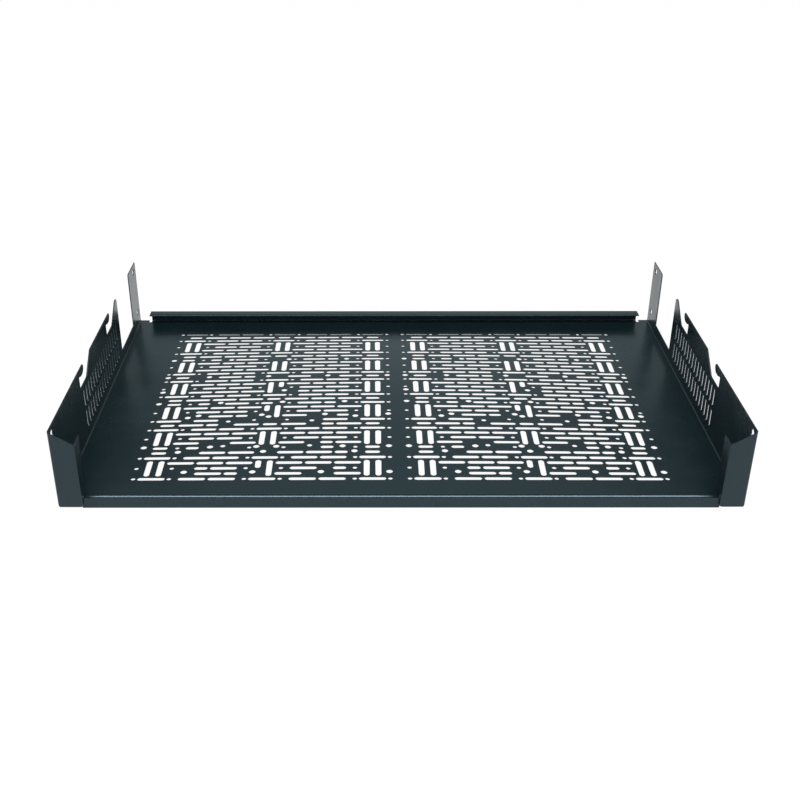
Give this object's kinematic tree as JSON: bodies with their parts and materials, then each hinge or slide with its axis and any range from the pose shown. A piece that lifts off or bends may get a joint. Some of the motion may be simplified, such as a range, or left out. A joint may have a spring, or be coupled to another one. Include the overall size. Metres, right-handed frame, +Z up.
{
  "type": "cantilever rack shelf",
  "caption": "Shallow rack shelf folded from one perforated steel sheet, with front channels, hook notches in the side walls and rear tabs.",
  "frame": {"origin": "centre of the shelf's outline seen from above, at the level of its lowest edge, the front lip's", "axes": "+X across the rack to the viewer's right, +Y to the rear of the rack, +Z up"},
  "size_m": [0.4508, 0.2896, 0.0652],
  "materials": {
    "powder_coat": "satin black powder coat, finely textured"
  },
  "bodies": {
    "root": {"shelf": "powder_coat"}
  },
  "joints": []
}
